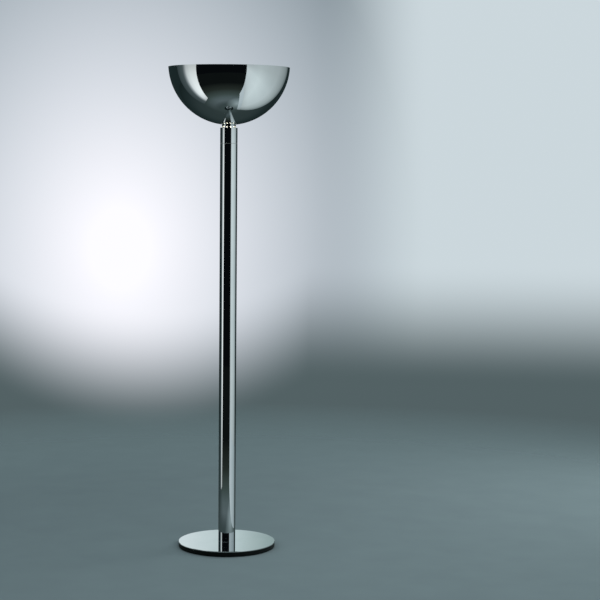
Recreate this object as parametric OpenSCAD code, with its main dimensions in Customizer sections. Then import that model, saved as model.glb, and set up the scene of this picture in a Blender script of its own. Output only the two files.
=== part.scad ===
// Torchiere floor lamp: a weighted disc base, a straight tube, a turning dimmer sleeve,
// a vented collar and a spherical bowl over a linear halogen lamp.
// Millimetres, +Z up, origin at the centre of the floor contact, cable inlet towards +Y.

/* [Overall] */
// Height of the bowl's rim above the floor
lamp_h = 1680; // [1500:5:1800]
// Outer diameter of the stem tube and of the dimmer sleeve
stem_d = 60; // [59:0.5:62]
// Wall of the stem tube
stem_wall = 1.5; // [1.4:0.1:1.6]

/* [Base] */
// Diameter of the polished top plate
base_d = 340; // [300:5:380]
// Height of the whole base, pad included
base_h = 20; // [20:0.5:24]
// Thickness of the polished top plate
plate_t = 3; // [2.5:0.5:3.5]
// Thickness of the floor pad
pad_t = 2; // [1.8:0.1:2]
// Diameter of the wiring recess under the base
recess_d = 140; // [138:1:150]

/* [Bowl] */
// Outer radius of the spherical bowl
bowl_r = 210; // [200:1:215]
// Wall of the spun bowl
bowl_wall = 1.2; // [1:0.1:1.4]
// How far the rim lies below the sphere's centre
rim_drop = 12; // [5:1:18]

/* [Neck] */
// Outer diameter of the vented collar
collar_d = 48; // [47:0.5:48]
// Number of vent holes round the collar
vent_n = 12; // [8:1:12]
// Diameter of one vent hole
vent_d = 5.5; // [5:0.5:5.5]
// Turn of the ring of vents, away from one bar at the front
vent_turn = 0; // [-15:1:15]
// Height of the turning dimmer sleeve, seam included
sleeve_h = 54; // [53:0.5:56]
// Turn of the dimmer sleeve from off to full
dimmer_turn = 270; // [240:5:290]

/* [Lamp] */
// Distance between the lamp's two end faces
lamp_len = 115; // [114:0.5:115]
// Diameter of the quartz tube
lamp_d = 10; // [9:0.5:10]

/* [Hidden] */
$fn = 96;
clear = 0.1;          // gap between pieces that are pressed or screwed together
run = 0.05;           // radial gap of a running fit
chrome = [0.80, 0.83, 0.84];
steel = [0.62, 0.63, 0.65];
iron = [0.06, 0.07, 0.08];
brass = [0.78, 0.62, 0.30];
nylon = [0.90, 0.89, 0.84];
ceramic = [0.93, 0.92, 0.88];
bronze = [0.72, 0.45, 0.25];

// levels, from the bowl down and from the floor up
bowl_cz = lamp_h + rim_drop;
bowl_bottom = bowl_cz - bowl_r;
flange_h = 3.8;
vent_row_h = 5.9;
flange_z = bowl_bottom - flange_h;
sleeve_top = flange_z - vent_row_h;
seam_z = sleeve_top - sleeve_h;
weight_top = base_h - plate_t;
recess_h = 10;
recess_z = pad_t + recess_h;
lamp_z = bowl_bottom + 78;
stem_r = stem_d / 2;
bore_r = stem_r - stem_wall;
base_r = base_d / 2;
weight_r = base_r - 1;

// base fittings
cover_boss_r = 60;
cover_boss_d = 10;
cover_t = 1.5;
cover_gap = 0.5;
cable_bore_r = 6;
foot_h = 40;
foot_pcd = 36;
foot_screw_d = 6;
foot_screw_angles = [90, 210, 330];
inlet_z = (pad_t + weight_top) / 2;
inlet_d = 7.2;        // takes a 7 mm lead
block_at = [38, 0];
block_size = [16, 30, 6.2];
block_poles = [-10, 0, 10];
block_rows = [-4, 4];
clamp_y = 55;
clamp_screw_x = 9;
earth_at = [-38, 8];

// dimmer
can_h = 68;
can_r = 26;
can_wall = 1.5;
plug_h = 39;
spigot_r = 25;
spigot_h = 9;
lower_spigot_h = 10;
can_top = seam_z - plug_h - lower_spigot_h + 8;
can_z = can_top - can_h;
plug_z = seam_z - plug_h;
spindle_r = 7;
spindle_bore_r = 4.5;
spindle_z = plug_z - lower_spigot_h - 10;
sleeve_ir = 27;
sleeve_web_z = sleeve_top - 7;
sleeve_web_t = 3;
seam_gap = 0.7;
track_z = seam_z + spigot_h + 0.2;
track_t = 1.6;
carrier_z = seam_z + 15;
carrier_h = 6;
pin_r = 23;
pin_d = 3;
lug_gap = 5;          // degrees between the stop pin's centre and either end of the lug

// neck
collar_z = sleeve_web_z + sleeve_web_t + 0.4;
collar_wall = 3;
collar_floor = 3;
neck_r = 19.8;
neck_ir = 17;
neck_top = bowl_bottom + 24;
nut_z = bowl_bottom + 4.5;
nut_h = 10;
notch_h = 4;
nut_r = 28;
washer_r = 27;

// bracket, holders and guard
arm_w = 24;
arm_x = 70;
sheet_t = 1.5;
arm_z = nut_z + nut_h + clear;
ear_z = lamp_z + 6;
ear_top = lamp_z + 30;
ear_front = -36;
ear_back = 44;
holder_in = lamp_len / 2 + 0.7;
holder_out = arm_x - sheet_t - clear;
holder_w = 18;
holder_drop = 12;
holder_h = 26;
cap_len = 8.5;
cap_d = 8.4;
guard_z = lamp_z + 18;
guard_h = 6;
guard_x = arm_x - sheet_t - 0.3;
guard_front = -36;
guard_back = 42;
hinge_y = 38;
hinge_z = guard_z + guard_h / 2;
glass_size = [128, 64, 3];
reflector_z = lamp_z - 30;
reflector_r = 45;
reflector_t = 0.8;
reflector_w = 56;
reflector_len = 104;
post_x = 40;
post_y = 8;
post_r = 2.5;

// routes of the leads that the lamp encloses, chosen by hand
lead_d = 5.6;
stem_route = [
    [29.6, 0, 8.6], [16, 0, 8.6], [8, 0, 8.6], [4.8, 0, 9.3], [2.3, 0, 11.0],
    [0.6, 0, 13.6], [0, 0, 17], [0, 0, 60], [3, 2, 160], [-4, 5, 330], [5, -3, 520],
    [-3, -5, 720], [4, 3, 920], [-5, 2, 1080], [0, 0, can_z - 60], [0, 0, can_z + 12]
];
lamp_lead_d = 2.4;
lamp_route = [
    [1.8, 0, spindle_z - 4], [1.8, 0, seam_z], [1.8, 0, bowl_bottom - 10],
    [2.4, 0, bowl_bottom + 10], [6, 0, bowl_bottom + 24], [12, 0, bowl_bottom + 29],
    [22, 0, bowl_bottom + 29], [34, 0, bowl_bottom + 23], [46, 0, bowl_bottom + 20],
    [56, 0, bowl_bottom + 20], [62.5, 0, bowl_bottom + 26], [64.2, 0, bowl_bottom + 38],
    [64.2, 0, lamp_z - holder_drop - clear]
];

// ---- shared shapes ----

// Upright tube standing on z
module pipe(r, ir, z, h) {
    translate([0, 0, z])
        difference() {
            cylinder(r = r, h = h);
            translate([0, 0, -1]) cylinder(r = ir, h = h + 2);
        }
}

// Copies of a child at equal steps, or at given angles, on a circle
module at_angles(angles, r) {
    for (a = angles) rotate([0, 0, a]) translate([r, 0, 0]) children();
}

// Socket-headed screw pointing up, the head's seat at z = 0
module screw_up(d, len, head_d, head_h) {
    cylinder(d = d, h = len);
    translate([0, 0, -head_h])
        difference() {
            cylinder(d = head_d, h = head_h);
            translate([0, 0, -1]) cylinder(d = head_d * 0.5, h = head_h * 0.5 + 1, $fn = 6);
        }
}

// Hexagonal nut with a plain bore, standing on z
module hex_nut(flats, bore_d, z, h) {
    translate([0, 0, z])
        difference() {
            cylinder(d = flats / cos(30), h = h, $fn = 6);
            translate([0, 0, -1]) cylinder(d = bore_d, h = h + 2);
        }
}

// Height of the bowl's outer or inner surface at a distance r from the axis
function sphere_z(radius, r) = bowl_cz - sqrt(radius * radius - r * r);

// Catmull-Rom point between p1 and p2
function smooth_point(p0, p1, p2, p3, t) =
    0.5 * (2 * p1 + (p2 - p0) * t + (2 * p0 - 5 * p1 + 4 * p2 - p3) * t * t
        + (3 * p1 - p0 - 3 * p2 + p3) * t * t * t);

function smooth_route(p, steps) = [
    for (i = [0 : len(p) - 2])
        for (s = [0 : steps - 1])
            smooth_point(p[max(i - 1, 0)], p[i], p[i + 1], p[min(i + 2, len(p) - 1)], s / steps),
    p[len(p) - 1]
];

function unit(v) = v / norm(v);
function along(p, i) = unit(p[min(i + 1, len(p) - 1)] - p[max(i - 1, 0)]);

// Round lead swept along a route that stays in or near the X-Z plane
module lead(route, d, sides, steps) {
    p = smooth_route(route, steps);
    n = len(p);
    points = [
        for (i = [0 : n - 1])
            let (t = along(p, i), u = unit(cross([0, 1, 0], t)), v = cross(t, u))
                for (k = [0 : sides - 1])
                    p[i] + (u * cos(360 * k / sides) + v * sin(360 * k / sides)) * d / 2
    ];
    faces = concat(
        [[for (k = [0 : sides - 1]) k]],
        [for (i = [0 : n - 2]) for (k = [0 : sides - 1])
            [i * sides + k, (i + 1) * sides + k,
             (i + 1) * sides + (k + 1) % sides, i * sides + (k + 1) % sides]],
        [[for (k = [sides - 1 : -1 : 0]) (n - 1) * sides + k]]
    );
    polyhedron(points, faces, convexity = 6);
}

// ---- base ----

// Soft ring that the lamp stands on
module floor_pad() {
    color(iron) pipe(weight_r - 7, recess_d / 2 + 3, 0, pad_t);
}

// Cast disc that keeps the lamp upright, hollowed below for the wiring
module base_weight() {
    color(iron) {
        difference() {
            translate([0, 0, pad_t]) cylinder(r = weight_r, h = weight_top - pad_t, $fn = 180);
            difference() {
                translate([0, 0, pad_t - 1]) cylinder(d = recess_d, h = recess_h + 1);
                at_angles([30, 150, 270], cover_boss_r)
                    translate([0, 0, pad_t + cover_gap + cover_t])
                        cylinder(d = cover_boss_d, h = recess_h + 1);
            }
            at_angles([30, 150, 270], cover_boss_r)
                translate([0, 0, 1]) cylinder(d = 3.3, h = recess_z);
            translate([0, 0, pad_t]) cylinder(r = cable_bore_r, h = base_h);
            at_angles(foot_screw_angles, foot_pcd / 2)
                translate([0, 0, pad_t]) cylinder(d = foot_screw_d + 0.6, h = base_h);
            // way in for the supply lead, and the seat of its grommet
            translate([0, recess_d / 2 - 5, inlet_z]) rotate([-90, 0, 0])
                cylinder(d = 9, h = weight_r);
            translate([0, weight_r - 12, inlet_z]) rotate([-90, 0, 0])
                cylinder(d = 12, h = 30);
            // groove that the clamped lead lies in
            translate([-4, 42, recess_z - 1]) cube([8, 24, 4]);
            for (x = [-clamp_screw_x, clamp_screw_x])
                translate([x, clamp_y, recess_z - 1]) cylinder(d = 3.1, h = 4.6);
            translate([earth_at.x, earth_at.y, recess_z - 1]) cylinder(d = 4.1, h = 5);
            for (x = [-5, 5])
                translate([block_at.x + x, 0, recess_z - 1]) cylinder(d = 2.6, h = 4);
        }
    }
}

// Polished plate that is all one sees of the base from above
module base_plate() {
    chamfer = 0.8;
    color(chrome)
        difference() {
            rotate_extrude($fn = 180)
                polygon([[0, weight_top], [base_r, weight_top], [base_r, base_h - chamfer],
                         [base_r - chamfer, base_h], [0, base_h]]);
            translate([0, 0, weight_top - 1]) cylinder(r = cable_bore_r, h = plate_t + 2);
            at_angles(foot_screw_angles, foot_pcd / 2)
                translate([0, 0, weight_top - 1]) cylinder(d = foot_screw_d + 0.6, h = plate_t + 2);
        }
}

// Lid over the wiring recess
module recess_cover() {
    color(iron)
        difference() {
            translate([0, 0, pad_t + cover_gap]) cylinder(d = recess_d - 1, h = cover_t - clear);
            at_angles([30, 150, 270], cover_boss_r) cylinder(d = 4.5, h = recess_z);
        }
}

module cover_screws() {
    color(steel)
        at_angles([30, 150, 270], cover_boss_r)
            translate([0, 0, pad_t + cover_gap]) screw_up(3.2, 9, 7, 1.4);
}

// Flanged bush that guards the supply lead where it enters the base
module cable_grommet() {
    color(iron)
        translate([0, weight_r - 11.8, inlet_z]) rotate([-90, 0, 0])
            difference() {
                union() {
                    cylinder(d = 11.8, h = 12);
                    translate([0, 0, 11.9]) cylinder(d = 14, h = 2);
                }
                translate([0, 0, -1]) cylinder(d = inlet_d, h = 20);
            }
}

// Bar that holds the supply lead against the casting
module cable_clamp() {
    color(steel)
        difference() {
            translate([-13, clamp_y - 4, 6.4]) cube([26, 8, 2]);
            for (x = [-clamp_screw_x, clamp_screw_x])
                translate([x, clamp_y, 0]) cylinder(d = 3.4, h = base_h);
        }
}

module clamp_screws() {
    color(steel)
        for (x = [-clamp_screw_x, clamp_screw_x])
            translate([x, clamp_y, 6.4]) screw_up(3, 8.6, 5.5, 1.8);
}

// Three-pole block where the supply lead meets the stem's lead
module terminal_block() {
    color(ceramic)
        difference() {
            translate([block_at.x - block_size.x / 2, -block_size.y / 2,
                       recess_z - clear - block_size.z])
                cube(block_size);
            for (y = block_poles) {
                translate([block_at.x - 20, y, 8.6]) rotate([0, 90, 0]) cylinder(d = 3.2, h = 40);
                for (x = block_rows)
                    translate([block_at.x + x, y, 4]) cylinder(d = 4, h = 4.6);
            }
        }
}

module terminal_screws() {
    color(brass)
        for (y = block_poles)
            for (x = block_rows)
                translate([block_at.x + x, y, 6.1])
                    difference() {
                        cylinder(d = 3.6, h = 2.4);
                        translate([-2, -0.4, -1]) cube([4, 0.8, 1.6]);
                    }
}

// Ring tag that earths the casting
module earth_tag() {
    color(brass)
        translate([earth_at.x, earth_at.y, recess_z - 0.9])
            difference() {
                union() {
                    cylinder(d = 10, h = 0.8);
                    translate([0, -2, 0]) cube([16, 4, 0.8]);
                }
                translate([0, 0, -1]) cylinder(d = 4.3, h = 3);
            }
}

module earth_screw() {
    color(brass)
        translate([earth_at.x, earth_at.y, recess_z - 0.9 - clear]) screw_up(4, 4.6, 7.5, 2.4);
}

// Threaded plug fixed in the bottom of the stem
module stem_foot() {
    color(steel)
        difference() {
            translate([0, 0, base_h]) cylinder(r = bore_r - clear, h = foot_h);
            translate([0, 0, base_h - 1]) cylinder(r = cable_bore_r, h = foot_h + 2);
            at_angles(foot_screw_angles, foot_pcd / 2)
                translate([0, 0, base_h - 1]) cylinder(d = foot_screw_d + 0.2, h = 30);
        }
}

module foot_screws() {
    color(steel)
        at_angles(foot_screw_angles, foot_pcd / 2)
            translate([0, 0, recess_z - 1.7]) screw_up(foot_screw_d, 34, 10, 4);
}

module foot_washers() {
    color(steel)
        at_angles(foot_screw_angles, foot_pcd / 2)
            pipe(6, foot_screw_d / 2 + 0.3, recess_z - 1.6, 1.5);
}

// ---- stem ----

module stem_tube() {
    color(chrome) pipe(stem_r, bore_r, base_h, seam_z - base_h);
}

module stem_lead() {
    color(iron) lead(stem_route, lead_d, 8, 3);
}

// Insulating can that holds the dimmer circuit, pushed over the plug's lower spigot
module dimmer_can() {
    color(iron)
        difference() {
            translate([0, 0, can_z]) cylinder(r = can_r, h = can_h);
            translate([0, 0, can_z + 2]) cylinder(r = can_r - can_wall, h = can_h);
            translate([0, 0, can_z - 1]) cylinder(d = lead_d + 1, h = 5);
        }
}

module dimmer_board() {
    color([0.10, 0.35, 0.18])
        translate([-20, 5, can_z + 6]) cube([40, 1.6, 38]);
}

// Ring choke that quiets the dimmer
module dimmer_choke() {
    color(bronze)
        translate([0, 12, can_z + 22]) rotate([90, 0, 0])
            rotate_extrude() translate([8, 0]) circle(d = 6, $fn = 32);
}

module dimmer_triac() {
    color(steel)
        translate([-5, 0.4, can_z + 30])
            difference() {
                cube([10, 4.4, 15]);
                translate([5, -1, 12.5]) rotate([-90, 0, 0]) cylinder(d = 3.6, h = 8);
            }
}

// Turned plug in the top of the stem: carries the spindle, the bush and the track
module head_plug() {
    color(steel)
        difference() {
            union() {
                translate([0, 0, plug_z]) cylinder(r = bore_r - clear, h = plug_h);
                translate([0, 0, plug_z - lower_spigot_h])
                    cylinder(r = can_r - can_wall - clear, h = lower_spigot_h + 1);
                translate([0, 0, seam_z - 1]) cylinder(r = spigot_r, h = spigot_h + 1);
            }
            cylinder(r = spindle_r + clear, h = bowl_cz);
            translate([0, -18, 0]) cylinder(d = 4, h = bowl_cz);
            translate([0, pin_r, seam_z - 4]) cylinder(d = pin_d + 0.2, h = 20);
        }
}

// Ring-shaped carbon track that the sleeve's wiper runs over
module dimmer_track() {
    color([0.10, 0.35, 0.18])
        difference() {
            pipe(20, spindle_r + 1.5, track_z, track_t);
            translate([0, -18, 0]) cylinder(d = 1.6, h = bowl_cz);
        }
}

module track_lead() {
    color(iron)
        translate([0, -18, plug_z - lower_spigot_h - 12])
            cylinder(d = 2.4, h = plug_h + lower_spigot_h + spigot_h + 12, $fn = 8);
}

module stop_pin() {
    color(steel)
        translate([0, pin_r, seam_z - 3.9]) cylinder(d = pin_d, h = carrier_h + 22);
}

// Flanged nylon bush between the plug's spigot and the sleeve
module lower_bush() {
    color(nylon) {
        difference() {
            union() {
                translate([0, 0, seam_z + 0.1]) cylinder(r = stem_r - 0.8, h = 0.4);
                translate([0, 0, seam_z + 0.1]) cylinder(r = sleeve_ir - run, h = spigot_h - 1);
            }
            translate([0, 0, seam_z - 1]) cylinder(r = spigot_r + clear, h = spigot_h + 2);
        }
    }
}

// Hollow threaded tube that ties the neck to the stem and carries the lamp's leads
module spindle() {
    color(steel)
        pipe(spindle_r, spindle_bore_r, spindle_z, collar_z + collar_floor + 9 - spindle_z);
}

module spindle_nuts() {
    color(steel) {
        hex_nut(20, 2 * (spindle_r + clear), plug_z - lower_spigot_h - 8.1, 8);
        hex_nut(20, 2 * (spindle_r + clear), collar_z + collar_floor + clear, 6);
    }
}

// ---- turning dimmer sleeve ----

module dimmer_sleeve() {
    color(chrome)
        difference() {
            translate([0, 0, seam_z + seam_gap])
                cylinder(r = stem_r, h = sleeve_h - seam_gap);
            translate([0, 0, seam_z]) cylinder(r = sleeve_ir, h = sleeve_web_z - seam_z);
            translate([0, 0, sleeve_web_z + sleeve_web_t]) cylinder(r = sleeve_ir, h = 20);
            translate([0, 0, seam_z]) cylinder(r = 12 + clear, h = sleeve_h + 1);
        }
}

module upper_bush() {
    color(nylon)
        difference() {
            union() {
                translate([0, 0, sleeve_web_z]) cylinder(r = 12, h = sleeve_web_t);
                translate([0, 0, sleeve_web_z - 1.6]) cylinder(r = 15, h = 1.5);
                translate([0, 0, sleeve_web_z - 0.2]) cylinder(r = 12, h = 0.4);
            }
            translate([0, 0, seam_z]) cylinder(r = spindle_r + run, h = 2 * sleeve_h);
        }
}

// Ring pressed in the sleeve, with the lug that meets the stop pin at either end of the turn
module wiper_carrier() {
    lug_start = 90 + lug_gap;
    lug_sweep = 360 - dimmer_turn - 2 * lug_gap;
    color(nylon) {
        pipe(sleeve_ir - clear, sleeve_ir - 1.8, carrier_z, carrier_h);
        translate([0, 0, carrier_z]) rotate([0, 0, lug_start])
            rotate_extrude(angle = lug_sweep)
                polygon([[21, 0], [sleeve_ir - 1, 0], [sleeve_ir - 1, carrier_h], [21, carrier_h]]);
    }
}

// Two bronze fingers that bear on the track
module wiper_fingers() {
    z = carrier_z - clear;
    tip = track_z + track_t + 0.3;
    color(bronze)
        for (a = [118, 136])
            rotate([0, 0, a]) translate([0, 1.5, 0]) rotate([90, 0, 0])
                linear_extrude(3)
                    polygon([[24, z], [15, z], [12.4, tip], [13, tip], [15.4, z - 0.4], [24, z - 0.4]]);
}

// ---- neck and bowl ----

// Turned collar with a ring of vents, a seat for the bowl and a threaded neck
module vent_collar() {
    seat_gap = 0.1;
    color(chrome)
        difference() {
            rotate_extrude()
                polygon([
                    [spindle_r + clear, collar_z], [collar_d / 2, collar_z],
                    [collar_d / 2, flange_z], [collar_d / 2 + 1, flange_z],
                    [collar_d / 2 - 1, sphere_z(bowl_r, collar_d / 2 - 1) - seat_gap],
                    [neck_r, sphere_z(bowl_r, neck_r) - seat_gap],
                    [neck_r, neck_top], [neck_ir, neck_top], [neck_ir, flange_z + 3.5],
                    [collar_d / 2 - collar_wall, flange_z],
                    [collar_d / 2 - collar_wall, collar_z + collar_floor],
                    [spindle_r + clear, collar_z + collar_floor]
                ]);
            for (i = [0 : vent_n - 1])
                rotate([0, 0, vent_turn - 90 + (i + 0.5) * 360 / vent_n])
                    translate([collar_d / 2 - 4, 0, sleeve_top + vent_row_h / 2])
                        rotate([0, 90, 0]) cylinder(d = vent_d, h = 8, $fn = 32);
        }
}

// Spun spherical bowl, open at the top
module bowl() {
    color(chrome)
        difference() {
            translate([0, 0, bowl_cz]) sphere(r = bowl_r, $fn = 180);
            translate([0, 0, bowl_cz]) sphere(r = bowl_r - bowl_wall, $fn = 180);
            translate([0, 0, lamp_h]) cylinder(r = bowl_r + 10, h = bowl_r + 50);
            translate([0, 0, bowl_bottom - 10]) cylinder(r = neck_r + 0.3, h = 40);
        }
}

module bowl_washer() {
    inner = bowl_r - bowl_wall - clear;
    color(iron)
        rotate_extrude()
            polygon([
                [neck_r + 0.3, sphere_z(inner, neck_r)], [washer_r, sphere_z(inner, washer_r)],
                [washer_r, nut_z - clear], [neck_r + 0.3, nut_z - clear]
            ]);
}

// Ring nut that clamps the bowl on the collar's neck
module bowl_nut() {
    color(steel)
        difference() {
            pipe(nut_r, neck_r + clear, nut_z, nut_h);
            at_angles([45, 135, 225, 315], nut_r)
                translate([-2.5, -2, nut_z + nut_h - notch_h]) cube([6, 4, notch_h + 1]);
        }
}

module bracket_nut() {
    color(steel)
        difference() {
            pipe(washer_r, neck_r + clear, arm_z + sheet_t + clear, 4.2);
            at_angles([45, 135, 225, 315], washer_r)
                translate([-2.5, -2, arm_z + sheet_t + 1]) cube([6, 4, notch_h]);
        }
}

// ---- inside the bowl ----

// Side plate of the lamp bracket, at +X; the other side is its mirror image
module bracket_side() {
    difference() {
        union() {
            translate([arm_x - sheet_t, -arm_w / 2, arm_z]) cube([sheet_t, arm_w, ear_z - arm_z + 1]);
            translate([arm_x - sheet_t, ear_front, ear_z])
                cube([sheet_t, ear_back - ear_front, ear_top - ear_z]);
            translate([62, -34, guard_z - 0.2 - sheet_t]) cube([arm_x - 62, 6, sheet_t]);
        }
        translate([arm_x - 10, hinge_y, hinge_z]) rotate([0, 90, 0]) cylinder(d = 3.2, h = 20);
        for (z = [lamp_z - 9, lamp_z + 9])
            translate([arm_x - 10, 0, z]) rotate([0, 90, 0]) cylinder(d = 3.4, h = 20);
    }
}

// Bent steel cradle that holds the lampholders and the glass guard
module lamp_bracket() {
    color([0.94, 0.94, 0.92]) {
        difference() {
            union() {
                translate([-arm_x, -arm_w / 2, arm_z]) cube([2 * arm_x, arm_w, sheet_t]);
                translate([0, 0, arm_z]) cylinder(r = 30, h = sheet_t);
            }
            translate([0, 0, arm_z - 1]) cylinder(r = neck_r + 0.3, h = 10);
            for (s = [-1, 1])
                translate([s * post_x, s * post_y, arm_z - 1]) cylinder(d = 3, h = 4);
        }
        bracket_side();
        mirror([1, 0, 0]) bracket_side();
    }
}

// Ceramic block drilled for a contact, at +X
module lampholder(bore_d) {
    difference() {
        translate([holder_in, -holder_w / 2, lamp_z - holder_drop])
            cube([holder_out - holder_in, holder_w, holder_h]);
        translate([holder_in - 1, 0, lamp_z]) rotate([0, 90, 0]) cylinder(d = 3.3, h = 20);
        translate([holder_in + 2.2, 0, lamp_z]) rotate([0, 90, 0]) cylinder(d = bore_d, h = 20);
        for (z = [lamp_z - 9, lamp_z + 9])
            translate([holder_in + 3, 0, z]) rotate([0, 90, 0]) cylinder(d = 3.2, h = 20);
    }
}

module lampholder_right() {
    color(ceramic) lampholder(7.2);
}

module lampholder_left() {
    color(ceramic) mirror([1, 0, 0]) lampholder(5.2);
}

module holder_screws() {
    color(steel)
        for (s = [0, 1])
            mirror([s, 0, 0])
                for (z = [lamp_z - 9, lamp_z + 9])
                    translate([arm_x + clear, 0, z]) rotate([0, -90, 0]) screw_up(3, 7.4, 5.6, 2);
}

// Brass contact, its tip in the recess of the lamp's cap
module contact(flange_d, tail) {
    tip_x = lamp_len / 2 - 2.4;
    translate([tip_x, 0, lamp_z]) rotate([0, 90, 0]) cylinder(d = 3.1, h = holder_in + 3 - tip_x);
    translate([holder_in + 2.3, 0, lamp_z]) rotate([0, 90, 0]) {
        cylinder(d = flange_d, h = 1.2);
        cylinder(d = 2.4, h = tail);
    }
}

module sprung_contact() {
    color(brass) contact(6.6, 4.2);
}

module fixed_contact() {
    color(brass) mirror([1, 0, 0]) contact(5, 7.6);
}

// Coil that presses the right contact on the lamp
module contact_spring() {
    turns = 4;
    x0 = holder_in + 3.9;
    x1 = holder_out - 0.5;
    color(steel)
        translate([0, 0, lamp_z]) rotate([0, 90, 0])
            coil(2.6, 0.5, x0, x1, turns);
}

// Round wire wound on +Z between two heights
module coil(r, wire_d, z0, z1, turns) {
    per_turn = 16;
    sides = 6;
    n = turns * per_turn;
    points = [
        for (i = [0 : n])
            let (a = 360 * i / per_turn, z = z0 + (z1 - z0) * i / n)
                for (k = [0 : sides - 1])
                    let (b = 360 * k / sides, q = r + wire_d / 2 * cos(b))
                        [q * cos(a), q * sin(a), z + wire_d / 2 * sin(b)]
    ];
    faces = concat(
        [[for (k = [0 : sides - 1]) k]],
        [for (i = [0 : n - 1]) for (k = [0 : sides - 1])
            [i * sides + k, (i + 1) * sides + k,
             (i + 1) * sides + (k + 1) % sides, i * sides + (k + 1) % sides]],
        [[for (k = [sides - 1 : -1 : 0]) n * sides + k]]
    );
    polyhedron(points, faces, convexity = 10);
}

// Quartz tube with a flat pinch at each end
module lamp_tube() {
    half = lamp_len / 2 - cap_len - 3;
    color([0.85, 0.9, 0.92, 0.5]) {
        translate([0, 0, lamp_z]) rotate([0, 90, 0])
            difference() {
                translate([0, 0, -half]) cylinder(d = lamp_d, h = 2 * half);
                translate([0, 0, 1.5 - half]) cylinder(d = lamp_d - 2, h = 2 * half - 3);
            }
        for (s = [0, 1])
            mirror([s, 0, 0])
                translate([half - 0.5, -3.5, lamp_z - 1.3]) cube([3.4, 7, 2.6]);
    }
}

module lamp_caps() {
    color(ceramic)
        for (s = [0, 1])
            mirror([s, 0, 0])
                translate([lamp_len / 2 - cap_len, 0, lamp_z]) rotate([0, 90, 0])
                    difference() {
                        cylinder(d = cap_d, h = cap_len);
                        translate([0, 0, cap_len - 2.5]) cylinder(d = 4.6, h = 4);
                    }
}

module lamp_filament() {
    color(steel)
        translate([-38, 0, lamp_z]) rotate([0, 90, 0]) cylinder(d = 1.4, h = 76);
}

module lamp_leads() {
    color(ceramic) {
        lead(lamp_route, lamp_lead_d, 8, 3);
        mirror([1, 0, 0]) lead(lamp_route, lamp_lead_d, 8, 3);
    }
}

// Polished trough under the lamp, open at its middle so that light reaches the collar
module reflector() {
    edge = reflector_w / 2;
    color(chrome)
        difference() {
            translate([-reflector_len / 2, 0, reflector_z + reflector_r])
                rotate([90, 0, 90])
                    linear_extrude(reflector_len)
                        intersection() {
                            difference() {
                                circle(r = reflector_r);
                                circle(r = reflector_r - reflector_t);
                            }
                            translate([-edge, -reflector_r - 1]) square([2 * edge, reflector_r]);
                        }
            translate([0, 0, reflector_z - 5]) cylinder(r = neck_ir, h = 30);
            for (s = [-1, 1])
                translate([s * post_x, s * post_y, reflector_z - 5]) cylinder(d = 3.4, h = 20);
        }
}

module reflector_posts() {
    color(steel)
        for (s = [-1, 1])
            translate([s * post_x, s * post_y, 0])
                pipe(post_r, 1.6, arm_z + sheet_t + clear, reflector_z + 0.1 - arm_z - sheet_t);
}

module reflector_screws() {
    color(steel)
        for (s = [-1, 1])
            translate([s * post_x, s * post_y, reflector_z + 2.5])
                mirror([0, 0, 1]) screw_up(3, 12, 6, 2);
}

// Folded frame round the guard glass, hinged at the back
module guard_frame() {
    rail_in = glass_size.x / 2 + 0.2;
    lip = 4;
    color([0.94, 0.94, 0.92])
        difference() {
            translate([-guard_x, guard_front, guard_z])
                cube([2 * guard_x, guard_back - guard_front, guard_h]);
            translate([-rail_in, -glass_size.y / 2 - 0.2, guard_z + 1.5])
                cube([2 * rail_in, glass_size.y + 0.4, guard_h]);
            translate([lip - rail_in, lip - glass_size.y / 2, guard_z - 1])
                cube([2 * (rail_in - lip), glass_size.y - 2 * lip, guard_h]);
            translate([-guard_x - 1, hinge_y, hinge_z]) rotate([0, 90, 0])
                cylinder(d = 3.1, h = 2 * guard_x + 2);
            for (s = [-1, 1])
                translate([s * (guard_x - 2), 0, guard_z + 2]) cylinder(d = 2.1, h = guard_h);
        }
}

module guard_glass() {
    color([0.80, 0.88, 0.86, 0.4])
        translate([-glass_size.x / 2, -glass_size.y / 2, guard_z + 1.6]) cube(glass_size);
}

// Sprung tongues that hold the glass down in its frame
module guard_clips() {
    top = guard_z + guard_h + clear;
    glass_top = guard_z + 1.6 + glass_size.z + clear;
    color(steel)
        for (s = [0, 1])
            mirror([s, 0, 0])
                difference() {
                    translate([0, 5, 0]) rotate([90, 0, 0])
                        linear_extrude(10)
                            polygon([[guard_x, top], [guard_x, top + 0.6], [59, top + 0.6],
                                     [57, glass_top + 0.6], [57, glass_top], [58, glass_top],
                                     [59.5, top]]);
                    translate([guard_x - 2, 0, guard_z]) cylinder(d = 2.3, h = 20);
                }
}

module clip_screws() {
    color(steel)
        for (s = [-1, 1])
            translate([s * (guard_x - 2), 0, guard_z + guard_h + 0.8])
                mirror([0, 0, 1]) screw_up(2, 4.6, 3.6, 1.2);
}

module hinge_pins() {
    color(steel)
        for (s = [0, 1])
            mirror([s, 0, 0])
                translate([60, hinge_y, hinge_z]) rotate([0, 90, 0]) {
                    cylinder(d = 3, h = arm_x + 0.2 - 60);
                    translate([0, 0, arm_x + 0.1 - 60]) cylinder(d = 5, h = 1.4);
                }
}

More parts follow.
